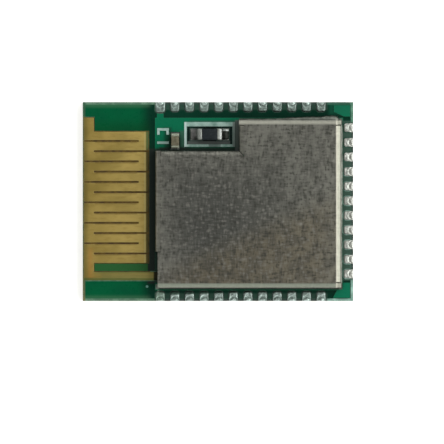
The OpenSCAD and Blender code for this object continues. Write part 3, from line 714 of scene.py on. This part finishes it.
# %% Print and flux-covered solder
ink = mottled("print_ink", (100, 132, 120), (146, 172, 162), 2.4, 0.6)
west_bar = fit(ink.x, frame_w - 0.15, frame_w - 0.05, 0.2, 0.7)
ink.tint(west_bar * fall(ink.x, frame_w, frame_w + 0.25), (190, 210, 206))
# painted shadow of the step's wall on the frame's east bar
ink.tint(rise(ink.x, frame_e - 0.2, frame_e - 0.12, 0.75), (98, 104, 100))
ink.tint(ink.within(-0.7, 3.6, 0.25, 4.0, 0.12) * 0.6, (66, 72, 70))
ink.tint(fall(ink.y, -5.5, -4.5, 0.75), (44, 104, 88))

# dull solder whose dark grey is partly painted shade at the can's foot and in the filter's joints
solder = mottled("dull_solder", (70, 74, 68), (112, 114, 106), 2.6, 0.5, metal=1.0, gloss=0.5, depth=0.02)
solder.tint(fall(solder.y, -5.7, -5.5, 0.8), (46, 58, 50))
north_east = solder.within(4.6, can_high.y - 0.3, FAR, FAR, 1.6)
along_east = rise(solder.x, can_high.x - 0.2, can_high.x - 0.1, 0.25)
south_west = solder.within(can_low.x - 0.2, -FAR, can_low.x + 0.3, -5.2, 0.1) * 0.55
solder.tint(north_east.most(along_east).most(south_west) * 0.8, (160, 168, 156))
solder.tint(solder.within(-1.9, 3.9, -1.1, 5.2, 0.1) * 0.5, (128, 126, 126))
solder.tint(solder.within(0.3, 3.9, 1.1, 4.86, 0.1) * 0.7, (30, 36, 34))
solder.tint(solder.within(0.3, 4.8, 1.0, 5.06, 0.06), (220, 226, 222))
print("finishes:", sorted(finishes))

# %% [markdown]
# ## Finishes on the solids
# A solid whose shape is right is kept as it is and only gets its finish. The record names a material slot
# for each node, so one table from slot to finish covers them all.

# %% Dress the solids
SLOT_FINISH = {
    "laminate": "glass_laminate", "copper": "dull_solder", "solder_mask": "mask_lacquer", "gilt": "gilt",
    "tin": "tin", "can_sheet": "can_sheet", "dark_ceramic": "dark_ceramic", "tan_ceramic": "tan_ceramic",
    "print": "print_ink", "package": "moulded_resin", "lid_metal": "plated_lid",
}
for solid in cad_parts.values():
    for holder in solid.material_slots:
        holder.material = finishes[SLOT_FINISH[holder.material.name]]
print("dressed", len(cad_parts), "solids")

# %% [markdown]
# ## From a node tree to a plain piece
# Geometry Nodes make what repeats. The trees work in millimetres, so that small sizes stay well above the
# tolerances of the nodes. Each ends in the same way: instances become real faces, because instances would be
# lost later, and the faces get their finish. The result is taken as a plain mesh and the modifier is removed.

# %% From a tree to a mesh
def geo(tree, kind, feeds, **settings):
    """The first output of a new Geometry Nodes node."""
    return node(tree, "GeometryNode" + kind, feeds, **settings)[0]


def end_tree(tree, shape, given, result):
    """Makes instances real, gives the finish and puts the shape out."""
    shape = geo(tree, "RealizeInstances", {0: shape})
    join(geo(tree, "SetMaterial", {0: shape, "Material": given["Finish"]}), result)
    print("tree", tree.name, "has", len(tree.nodes), "nodes")


def grown(tree, values, bevel=0.0):
    """The mesh that a Geometry Nodes tree gives for these named inputs, in millimetres."""
    holder = bpy.data.objects.new(tree.name, bpy.data.meshes.new(tree.name))
    scene.collection.objects.link(holder)
    growth = holder.modifiers.new("growth", "NODES")
    growth.node_group = tree
    for socket in tree.interface.items_tree:
        if socket.in_out == "INPUT":
            growth[socket.identifier] = values[socket.name]
    if bevel:
        rounding = holder.modifiers.new("rounding", "BEVEL")
        rounding.width, rounding.segments, rounding.limit_method = bevel, 2, "ANGLE"
    ready = holder.evaluated_get(bpy.context.evaluated_depsgraph_get())
    mesh = bpy.data.meshes.new_from_object(ready)
    bpy.data.objects.remove(holder)
    return mesh


print("trees give plain meshes")

# %% [markdown]
# Nodes can leave a shell inside out, or two triangles on each other where sheets meet in a corner, so the
# mesh is cleaned: such pairs go, and a shell whose faces enclose a negative volume is turned round.

# %% Clean a mesh
def triangulate(work):
    """Cuts the faces into triangles, and takes out pairs at a shell's corners that lie on each other."""
    bmesh.ops.triangulate(work, faces=work.faces[:])
    by_corners = {}
    for face in work.faces:
        by_corners.setdefault(frozenset(face.verts), []).append(face)
    doubled = [face for faces in by_corners.values() if len(faces) > 1 for face in faces]
    bmesh.ops.delete(work, geom=doubled, context="FACES")


def shells(work):
    """The faces of each connected shell of a mesh."""
    left = set(work.faces)
    while left:
        shell, fresh = [], [left.pop()]
        while fresh:
            face = fresh.pop()
            shell.append(face)
            near = {other for rim in face.edges for other in rim.link_faces} & left
            left -= near
            fresh.extend(near)
        yield shell


def inside_out(shell):
    """True where the faces of a closed shell enclose a negative volume."""
    centres = [face.calc_center_median() for face in shell]
    middle = sum(centres, Vector()) / len(centres)
    return sum((c - middle).dot(face.normal) * face.calc_area() for c, face in zip(centres, shell)) < 0


print("a mesh is cleaned before it becomes a piece")

# %% [markdown]
# Scaled to metres, the mesh is an ordinary piece at the origin. The frame has to know which body a piece
# rides on and which solids it stands for. That is the same for every piece, so it is said in one place.

# %% From a mesh to a piece
def settle(name, mesh, slot, *nodes):
    """A closed mesh in millimetres becomes a piece in metres, in place of the solids that are named."""
    work = bmesh.new()
    work.from_mesh(mesh)
    triangulate(work)
    bmesh.ops.recalc_face_normals(work, faces=work.faces[:])
    for shell in list(shells(work)):
        if inside_out(shell):
            bmesh.ops.reverse_faces(work, faces=shell)
    bmesh.ops.scale(work, vec=(MM, MM, MM), verts=work.verts[:])
    work.to_mesh(mesh)
    work.free()
    mesh.name = name
    piece = bpy.data.objects.new(name, mesh)
    scene.collection.objects.link(piece)
    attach(piece, "root")
    if nodes:
        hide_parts(*nodes)
    print(name, "has", len(mesh.polygons), "faces")


print("pieces go from millimetres to metres")

# %% [markdown]
# ## Antenna
# The antenna is one long strip of copper, folded to and fro so that it fits on a short board. It follows a
# plain rule: a plate, and slots cut into it from the east and from the west by turns. It could be drawn
# point by point, but then a change of pitch would mean drawing it again. So a tree makes it from a few
# sizes, which are its named inputs. They come from the box of the antenna's solid: the stub reaches its
# north side, the feed strip its south and east sides.

# %% Sizes of the meander
FINGERS, SLOT_WIDTH, TURN_WIDTH = 13, 0.13, 0.66
STUB_LENGTH, FEED_WIDTH, ETCH_ROUND = 0.96, 0.58, 0.012
antenna = antenna_high - antenna_low
plate_south = antenna_high.y - STUB_LENGTH - (FINGERS * FINGER_PITCH - SLOT_WIDTH)
meander_sizes = {
    "West": antenna_low.x, "South": plate_south, "Base": antenna_low.z, "Thickness": antenna.z,
    "Finger Length": finger_east - antenna_low.x, "Pitch": FINGER_PITCH, "Slots": FINGERS - 1,
    "Slot Width": SLOT_WIDTH, "Turn Width": TURN_WIDTH, "Stub": STUB_LENGTH, "Feed South": antenna_low.y,
    "Feed Width": FEED_WIDTH, "Feed Length": antenna.x, "Finish": finishes["gilt"],
}
print("meander from y", round(plate_south, 2), "mm")

# %% [markdown]
# The tree sets knives on a line of points, moves every second one over, and cuts all the slots with one
# Boolean. A knife is taller than the plate, so that it cuts right through.

# %% Plate and slots
KNIFE_HEIGHT = 4.0
meander, given, result = new_group("meander", "Geometry", meander_sizes, "Geometry")
west, south, base, thickness = given["West"], given["South"], given["Base"], given["Thickness"]
length, pitch, slot_width = given["Finger Length"], given["Pitch"], given["Slot Width"]
turn_width, feed_south = given["Turn Width"], given["Feed South"]


def slab(from_x, from_y, size_x, size_y):
    """A slab of the copper's thickness, placed by its south-west corner."""
    size = vector(meander, size_x, size_y, thickness)
    feeds = {0: size, 1: (0.5, 0.5, 0.5), 2: vector(meander, from_x, from_y, base)}
    middle = node(meander, "ShaderNodeVectorMath", feeds, operation="MULTIPLY_ADD")[0]
    return geo(meander, "Transform", {0: geo(meander, "MeshCube", {"Size": size}), "Translation": middle})


plate_width = (given["Slots"] + 1.0) * pitch - slot_width
plate = slab(west, south, length, plate_width)
first = vector(meander, west + length * 0.5, south + (pitch - slot_width * 0.5), base)
feeds = {"Count": given["Slots"], "Start Location": first, "Offset": vector(meander, y=pitch)}
spots = geo(meander, "MeshLine", feeds)
odd = geo(meander, "InputIndex", {}).calc("MODULO", 2.0)
over = vector(meander, turn_width * (1.0 - odd * 2.0))
spots = geo(meander, "SetPosition", {0: spots, "Offset": over})
knife = geo(meander, "MeshCube", {"Size": vector(meander, length, slot_width, thickness * KNIFE_HEIGHT)})
knives = geo(meander, "InstanceOnPoints", {"Points": spots, "Instance": knife})
knives = geo(meander, "RealizeInstances", {0: knives})
feeds = {"Mesh 1": plate, "Mesh 2": knives}
cut = geo(meander, "MeshBoolean", feeds, operation="DIFFERENCE", solver="EXACT")
print("plate with", FINGERS - 1, "slots")

# %% [markdown]
# A second Boolean joins the stub, the last turn and the feed strip, which lap into the plate a little.
# Etching leaves no sharp edges, so a small Bevel follows.

# %% Antenna piece
LAP = 0.2
stub = slab(west, south + plate_width - LAP, turn_width, given["Stub"] + LAP)
last_turn = slab(west, feed_south, turn_width, south - feed_south + LAP)
feed = slab(west, feed_south, given["Feed Length"], given["Feed Width"])
feeds = {"Mesh 2": [cut, stub, last_turn, feed]}
whole = geo(meander, "MeshBoolean", feeds, operation="UNION", solver="EXACT")
end_tree(meander, whole, given, result)
settle("antenna_strip", grown(meander, meander_sizes, ETCH_ROUND), "gilt", "antenna")

# %% [markdown]
# ## Solder along the can's foot
# The can is soldered to the board along its outer walls. Solder drawn along a wall never keeps one
# thickness: it swells where more was fed and thins out at the ends. A curve follows the wall's foot, a noise
# sets its thickness from point to point, and a circle swept along it gives the bead. Most of it is hidden in
# the wall and the board, as on the real joint.

# %% Tree of a solder bead
BEAD = {"Start": (0, 0, 0), "End": (1, 0, 0), "Spacing": 0.05, "Thin": 0.06, "Thick": 0.09,
        "Unevenness": 0.9, "Finish": finishes["dull_solder"]}
bead, given, result = new_group("bead", "Geometry", BEAD, "Geometry")
path = geo(bead, "CurvePrimitiveLine", {"Start": given["Start"], "End": given["End"]})
path = geo(bead, "ResampleCurve", {"Curve": path, "Length": given["Spacing"]}, mode="LENGTH")
along = node(bead, "GeometryNodeSplineParameter")["Factor"]
spot = geo(bead, "InputPosition", {})
lumps = node(bead, "ShaderNodeTexNoise", {"Vector": spot, "Scale": 1.6, "Detail": 2.0})["Fac"]
lumps = (lumps - 0.5) * given["Unevenness"] + 1.0
ends = 1.05 - abs(along * 2.0 - 1.0) ** 40.0
girth = fit(along, 0.0, 1.0, given["Thin"], given["Thick"]) * (lumps * ends)
ring = geo(bead, "CurvePrimitiveCircle", {"Resolution": 12, "Radius": 1.0})
feeds = {"Curve": path, "Profile Curve": ring, "Scale": girth, "Fill Caps": True}
swept = geo(bead, "SetShadeSmooth", {0: geo(bead, "CurveToMesh", feeds)})
end_tree(bead, swept, given, result)

# %% [markdown]
# The beads run along the north, east and south walls. The north one is fed from its east end and is
# thickest there.

# %% Solder beads
CORNER_GAP, LAST_GAP = 0.2, 0.1
wall_w, wall_s, wall_e, wall_n = *can_low.xy, *can_high.xy


def beaded(name, start, end, thin, thick):
    """A bead along one wall's foot."""
    values = {"Start": (*start, copper_top), "End": (*end, copper_top), "Thin": thin, "Thick": thick}
    settle(name, grown(bead, {**BEAD, **values}), "tin", "can_solder")


beaded("bead_north", (step_x + CORNER_GAP, wall_n), (wall_e - LAST_GAP, wall_n), 0.05, 0.25)
beaded("bead_east", (wall_e, wall_s + CORNER_GAP), (wall_e, wall_n - CORNER_GAP), 0.09, 0.12)
beaded("bead_south", (wall_w + CORNER_GAP, wall_s), (wall_e - CORNER_GAP, wall_s), 0.05, 0.06)

# %% [markdown]
# ## Tin on the pads
# Each of the 35 edge pads carries a thin cushion of tin, more tin fills its half-hole, and a low head of it
# stands over the hole, with a groove around it. All three are one idea: a grid is bent into a front and a
# back surface that meet along their rims, like a lens. The grid's first direction goes round the hole, and
# the second runs outwards or down.

# %% Helpers of the pad tree
PAD_ROW = {"Count": 12, "First": (0, 0, 0), "Step": (1, 0, 0), "Turn": (0, 0, 0), "Pad Width": 0.6,
           "Pad Length": 0.66, "Hole": 0.15, "Head": 0.24, "Crown": 0.06, "Waviness": 1.2, "Lining": 0.146,
           "Depth": 0.85, "Finish": finishes["tin"]}
pad_row, given, result = new_group("pad_row", "Geometry", PAD_ROW, "Geometry")


def grid_sheet(across, up):
    """A unit grid, the X and the Y of its points from its middle, and the X as a half turn."""
    feeds = {"Size X": 1.0, "Size Y": 1.0, "Vertices X": across, "Vertices Y": up}
    x, y, _ = parts(geo(pad_row, "InputPosition", {}))
    return geo(pad_row, "MeshGrid", feeds), x, y, x * math.pi


def ease(value, power):
    """1 in the middle of a grid direction, falling to 0 at its two ends."""
    return 1.0 - abs(value * 2.0) ** power


def bent(sheet, turn, radius, height):
    """The grid bent round the hole: a turn, a radius and a height for each point."""
    spot = vector(pad_row, radius * turn.calc("SINE"), -(radius * turn.calc("COSINE")), height)
    return geo(pad_row, "SetPosition", {0: sheet, "Position": spot})


def lens_of(front, back):
    """Two sheets with the same rim, closed into one shell."""
    both = geo(pad_row, "JoinGeometry", {0: [front, geo(pad_row, "FlipFaces", {0: back})]})
    return geo(pad_row, "MergeByDistance", {0: both, "Distance": 0.0005})


print("sheets are bent over half a turn")

# %% [markdown]
# The cushion runs from the groove to the pad's outline, a rounded rectangle written as a superellipse. For
# the filling, the second direction is height: thick near the top, thin at the foot. The head is a dome.

# %% Cushion, lining and head
OUTLINE_POWER = 8.0
RING_GROOVE = 0.035

sheet, x, y, turn = grid_sheet(29, 11)
half_width = given["Pad Width"] * 0.5 - 0.01
beside = (abs(turn.calc("SINE")) / half_width) ** OUTLINE_POWER
ahead = (abs(turn.calc("COSINE")) / given["Pad Length"]) ** OUTLINE_POWER
outline = (beside + ahead) ** (-1.0 / OUTLINE_POWER)
inner = given["Head"] + RING_GROOVE
radius = inner + (y + 0.5) * (outline - inner)
swell = given["Crown"] * (ease(x, 10.0) * ease(y, 4.0))
cushion = lens_of(bent(sheet, turn, radius, swell), bent(sheet, turn, radius, 0.0))

sheet, x, y, turn = grid_sheet(23, 9)
deep = 1.0 - (y + 0.5)
level = -(deep * given["Depth"])
filled = given["Lining"] * ((1.0 - deep ** 10.0) * deep ** 0.12) * ease(x, 30.0)
lining = lens_of(bent(sheet, turn, given["Hole"] - filled, level), bent(sheet, turn, given["Hole"], level))

sheet, x, y, turn = grid_sheet(23, 10)
outwards = y + 0.5
radius = outwards * given["Head"]
dome = (1.0 - outwards ** 3.0) * given["Crown"] * ease(x, 30.0)
head = lens_of(bent(sheet, turn, radius, dome), bent(sheet, turn, radius, 0.0))
print("one pad takes", len(pad_row.nodes), "nodes")

# %% [markdown]
# The tree sets the pads on a line of points, and a noise that depends on the place makes no two alike. The
# noise lifts only what stands above the pad, so that the rims stay closed on it.

# %% A row of pads
one_pad = geo(pad_row, "JoinGeometry", {0: [cushion, lining, head]})
feeds = {"Count": given["Count"], "Start Location": given["First"], "Offset": given["Step"]}
spots = geo(pad_row, "MeshLine", feeds)
turned = node(pad_row, "FunctionNodeEulerToRotation", {0: given["Turn"]})[0]
row = geo(pad_row, "InstanceOnPoints", {"Points": spots, "Instance": one_pad, "Rotation": turned})
row = geo(pad_row, "RealizeInstances", {0: row})
spot = geo(pad_row, "InputPosition", {})
above = parts(vector_calc("SUBTRACT", spot, given["First"]))[2].most(0.0)
rumple = node(pad_row, "ShaderNodeTexNoise", {"Vector": spot, "Scale": 5.0, "Detail": 1.0})["Fac"]
shift = vector(pad_row, z=above * ((rumple - 0.5) * given["Waviness"]))
row = geo(pad_row, "SetPosition", {0: row, "Offset": shift})
end_tree(pad_row, geo(pad_row, "SetShadeSmooth", {0: row}), given, result)

# %% [markdown]
# The rows start from the boxes of the pad solids: the last pad of a row ends where its box ends, and the
# pads are 1 mm apart. The first pad of the north row is larger than the others, so it is a row of one.

# %% Tin on the three edges
PITCH, PAD_WIDTH, PAD_LENGTH = 1.0, 0.6, 0.66
FIRST_WIDTH, FIRST_LENGTH = 0.66, 0.72
ROW_COUNT, COLUMN_COUNT = 12, 11
TIN_SETBACK = 0.01
row_start = north_high.x - PAD_WIDTH / 2 - (ROW_COUNT - 1) * PITCH
column_end = east_high.y - PAD_WIDTH / 2
north_y, south_y = north_high.y - TIN_SETBACK, box("south_pads")[0].y + TIN_SETBACK
east_x = east_high.x - TIN_SETBACK


def tinned(name, count, first, step, quarter_turns, width=PAD_WIDTH, length=PAD_LENGTH):
    """A row of tin cushions, linings and heads as one piece."""
    turn = (0, 0, quarter_turns * math.pi / 2)
    values = {"Count": count, "First": (*first, north_high.z), "Step": (*step, 0), "Turn": turn,
              "Pad Width": width, "Pad Length": length - TIN_SETBACK}
    settle(name, grown(pad_row, {**PAD_ROW, **values}), "tin")


tinned("tin_first", 1, (row_start, north_y), (PITCH, 0), 0, FIRST_WIDTH, FIRST_LENGTH)
tinned("tin_north", ROW_COUNT - 1, (row_start + PITCH, north_y), (PITCH, 0), 0)
tinned("tin_south", ROW_COUNT, (row_start, south_y), (PITCH, 0), 2)
tinned("tin_east", COLUMN_COUNT, (east_x, column_end), (0, -PITCH), -1)

# %% [markdown]
# ## Chips
# A chip is a ceramic block with a metal cap on each end. The caps are dipped, so they stand slightly proud
# of the block and are rounder than it. Blocks and caps are made as cubes with bevelled edges, and each
# vertex of a cap is then moved a little by noise, because no dipped cap is flat.

# %% Chip helpers
def rounded_block(work, low, high, rounding, lump=0.0):
    """Adds a block with rounded, slightly lumpy faces."""
    made = bmesh.ops.create_cube(work, size=1.0)["verts"]
    middle, size = (Vector(low) + Vector(high)) / 2, Vector(high) - Vector(low)
    for corner in made:
        corner.co = middle + Vector(a * b for a, b in zip(corner.co, size))
    rims = {rim for corner in made for rim in corner.link_edges}
    grew = bmesh.ops.bevel(work, geom=list(rims), offset=rounding, segments=4, profile=0.5, affect="EDGES")
    if lump:
        for corner in {c for face in grew["faces"] for c in face.verts}:
            corner.co += lump * noise.noise_vector(corner.co * 4)


def smooth_mesh(work, finish, centre=(0, 0, 0), turn=0.0):
    """The shapes gathered so far as one smooth mesh with a finish, turned and moved to a centre."""
    bmesh.ops.rotate(work, verts=work.verts[:], cent=(0, 0, 0), matrix=Matrix.Rotation(turn, 3, "Z"))
    bmesh.ops.translate(work, verts=work.verts[:], vec=centre)
    for face in work.faces:
        face.smooth = True
    mesh = bpy.data.meshes.new(finish)
    work.to_mesh(mesh)
    work.free()
    mesh.materials.append(finishes[finish])
    return mesh


print("blocks get rounded edges")

# %% [markdown]
# Both chips are made lying along X, with sizes from the boxes of the solids that they stand for, and the
# capacitor is then turned. The block reaches a little into the caps, so that no gap shows.

# %% Chips
BLOCK_INSET, BLOCK_REACH, BLOCK_ROUND = 0.014, 0.03, 0.03
CAP_ROUND, CAP_LUMP = 0.1, 0.006


def chip(name, ceramic, end_finish, turn=0.0):
    """A block and its two caps."""
    low, high = box(name + "_terminals")
    body_low, body_high = box(name + "_body")
    size, body = high - low, body_high - body_low
    length, half, body_half = (size.y, size.x / 2, body.y / 2) if turn else (size.x, size.y / 2, body.x / 2)
    centre = ((low.x + high.x) / 2, (low.y + high.y) / 2, low.z)
    reach, inset = body_half + BLOCK_REACH, half - BLOCK_INSET
    work = bmesh.new()
    rounded_block(work, (-reach, -inset, BLOCK_INSET), (reach, inset, size.z - BLOCK_INSET), BLOCK_ROUND)
    settle(name + "_block", smooth_mesh(work, ceramic, centre, turn), ceramic, name + "_body")
    work = bmesh.new()
    for side in (-1, 1):
        from_x, to_x = sorted((side * body_half, side * length / 2))
        rounded_block(work, (from_x, -half, 0), (to_x, half, size.z), CAP_ROUND, CAP_LUMP)
    settle(name + "_caps", smooth_mesh(work, end_finish, centre, turn), "tin", name + "_terminals")


chip("filter", "dark_ceramic", "tin")
chip("capacitor", "tan_ceramic", "end_metal", math.pi / 2)

# %% [markdown]
# The filter's joints are made point by point from a formula. Seen from the side, molten solder hangs in a
# hollow curve between cap and land. Seen from above, it fills the width at the cap and draws in towards the
# toe. A grid of top points follows both curves, and a grid of points under it closes the shape.

# %% Filter joints
STEPS, ROWS = 14, 10
HEEL_LAP, TOE_DRAW, TOE_HEIGHT = 0.04, 0.14, 0.1
CLIMB, HOLLOW, SHOULDER, LUMPS = 0.62, 2.4, 0.7, 0.35
joint_low, joint_high = box("filter_solder")
cap_low, cap_high = box("filter_terminals")
joint = joint_high - joint_low
middle = (joint_low.y + joint_high.y) / 2
work = bmesh.new()
for side, heel, toe in ((-1, cap_low.x, joint_low.x), (1, cap_high.x, joint_high.x)):
    tops, floors = [], []
    for i in range(STEPS + 1):
        out = i / STEPS
        x = heel + (toe - heel) * (out * (1 + HEEL_LAP) - HEEL_LAP)
        half = joint.y / 2 * (0.97 - TOE_DRAW * out ** 3)
        for j in range(ROWS + 1):
            across = 2 * j / ROWS - 1
            height = joint.z * (TOE_HEIGHT + CLIMB * (1 - out) ** HOLLOW) * (1 - SHOULDER * abs(across) ** 5)
            height *= 1 + LUMPS * noise.noise((x * 3, across * 2, side))
            for layer, z in ((tops, joint_low.z + height), (floors, joint_low.z)):
                layer.append(work.verts.new((x, middle + half * across, z)))
    count = ROWS + 1
    for i in range(STEPS):
        for a in range(i * count, i * count + ROWS):
            for layer in (tops, floors):
                work.faces.new((layer[a], layer[a + count], layer[a + count + 1], layer[a + 1]))
    rim = list(range(ROWS)) + list(range(ROWS, STEPS * count + ROWS, count))
    rim += list(range(STEPS * count + ROWS, STEPS * count, -1)) + list(range(STEPS * count, 0, -count))
    for here, after in zip(rim, rim[1:] + rim[:1]):
        work.faces.new((tops[here], tops[after], floors[after], floors[here]))
settle("filter_joints", smooth_mesh(work, "dull_solder"), "tin", "filter_solder")
